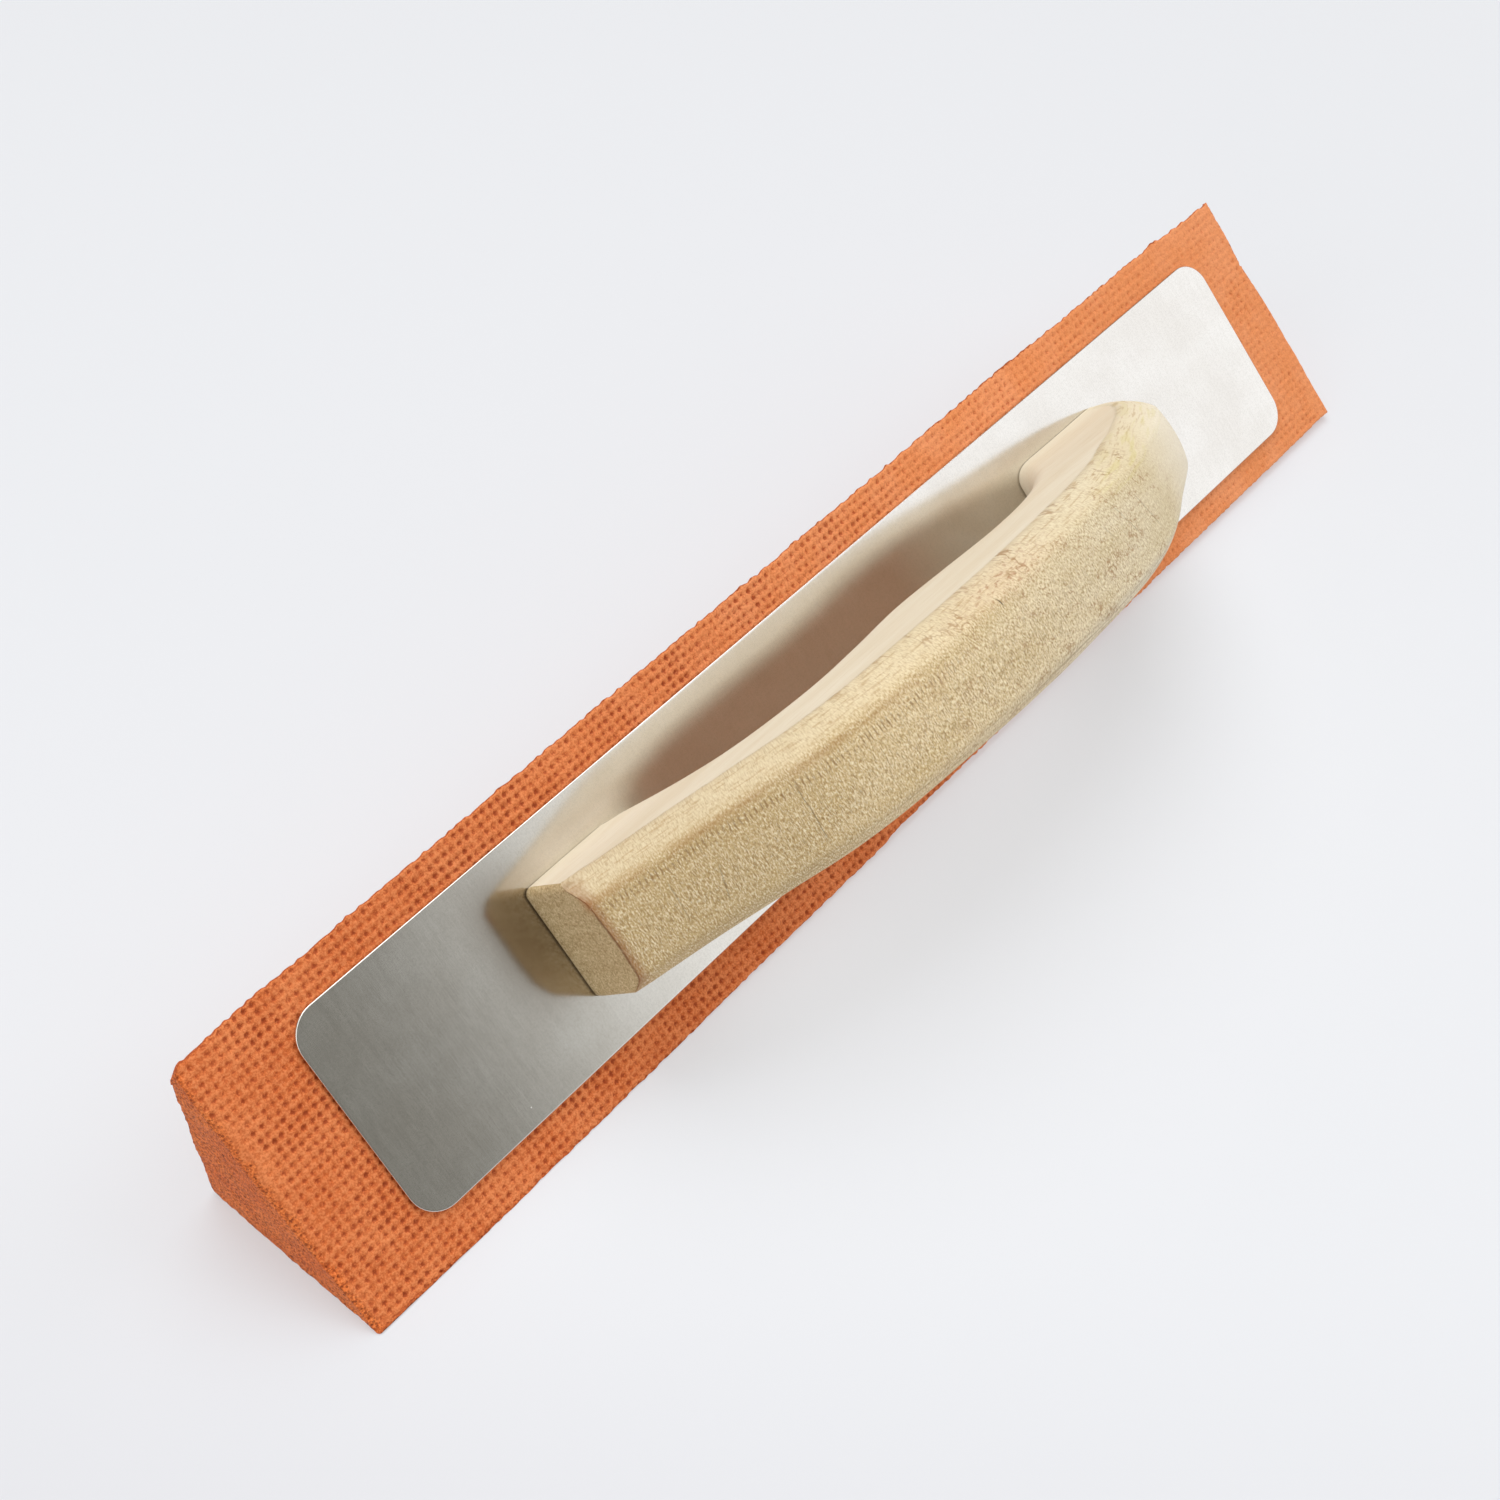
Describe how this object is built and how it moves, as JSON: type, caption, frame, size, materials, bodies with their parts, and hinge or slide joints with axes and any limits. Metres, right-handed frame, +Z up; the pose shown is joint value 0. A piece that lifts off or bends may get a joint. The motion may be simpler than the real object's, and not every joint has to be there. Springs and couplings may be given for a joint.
{
  "type": "corner sponge float",
  "caption": "Hand float for inside corners: V-section cellular rubber block, metal backing plate and bridge-shaped wooden handle.",
  "frame": {"origin": "centre of the sole face that the tool lies on", "axes": "+X along the tool towards the handle's rounded nose, +Z up out of the floor; the other sole face stands upright and faces +Y, and the plate and handle face -Y and +Z at 45 degrees"},
  "size_m": [0.418, 0.086, 0.086],
  "materials": {
    "cellular_rubber": "open-cell sponge rubber with a cloth-imprinted skin",
    "contact_adhesive": "thin dried contact adhesive",
    "brushed_plate": "cross-brushed sheet",
    "raw_beech": "raw sanded beech",
    "zinc_screw": "zinc-plated"
  },
  "bodies": {
    "root": {"sponge_sole": "cellular_rubber", "adhesive_film": "contact_adhesive", "backing_plate": "brushed_plate", "handle": "raw_beech", "rear_foot_screw_outer": "zinc_screw", "rear_foot_screw_inner": "zinc_screw", "front_foot_screw_inner": "zinc_screw", "front_foot_screw_outer": "zinc_screw"}
  },
  "joints": []
}
